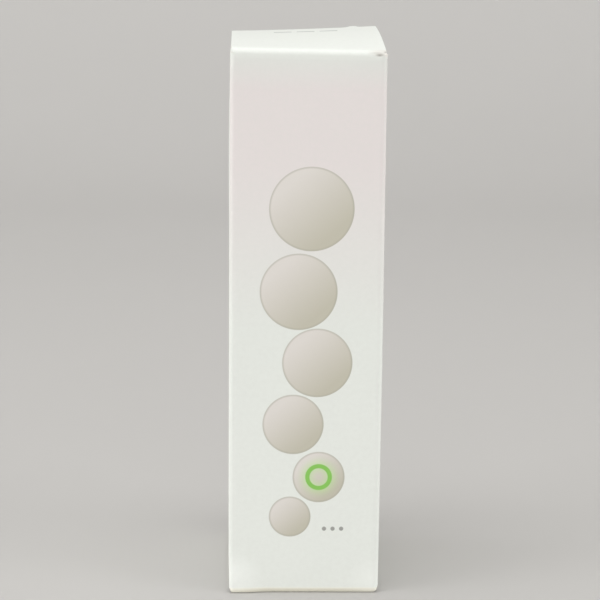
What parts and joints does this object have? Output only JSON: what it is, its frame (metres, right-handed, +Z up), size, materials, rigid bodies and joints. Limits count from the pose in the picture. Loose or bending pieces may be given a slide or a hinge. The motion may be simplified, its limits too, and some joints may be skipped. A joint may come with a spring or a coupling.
{
  "type": "folding carton",
  "caption": "Tall narrow folding carton of white coated paperboard with a hinged tuck lid at the top and at the base and a printed front panel.",
  "frame": {"origin": "middle of the footprint, on the surface that the carton stands on", "axes": "+Z up along the long side, +X across the front panel to its right as seen by someone facing it, -Y out of the front panel"},
  "size_m": [0.035, 0.045, 0.1277],
  "materials": {
    "coated_board": "white clay-coated face, satin"
  },
  "bodies": {
    "carton": {"carton_shell": "coated_board"},
    "upper_closure": {"top_lid": "coated_board"},
    "lower_closure": {"bottom_lid": "coated_board"}
  },
  "joints": [
    {"name": "top_lid_hinge", "type": "hinge", "parent": "carton", "child": "upper_closure", "pos_m": [0, -0.0225, 0.1252], "axis": [1, 0, 0], "range_deg": [0, 170]},
    {"name": "bottom_lid_hinge", "type": "hinge", "parent": "carton", "child": "lower_closure", "pos_m": [0, -0.0225, 0.0008], "axis": [-1, 0, 0], "range_deg": [0, 170]}
  ]
}
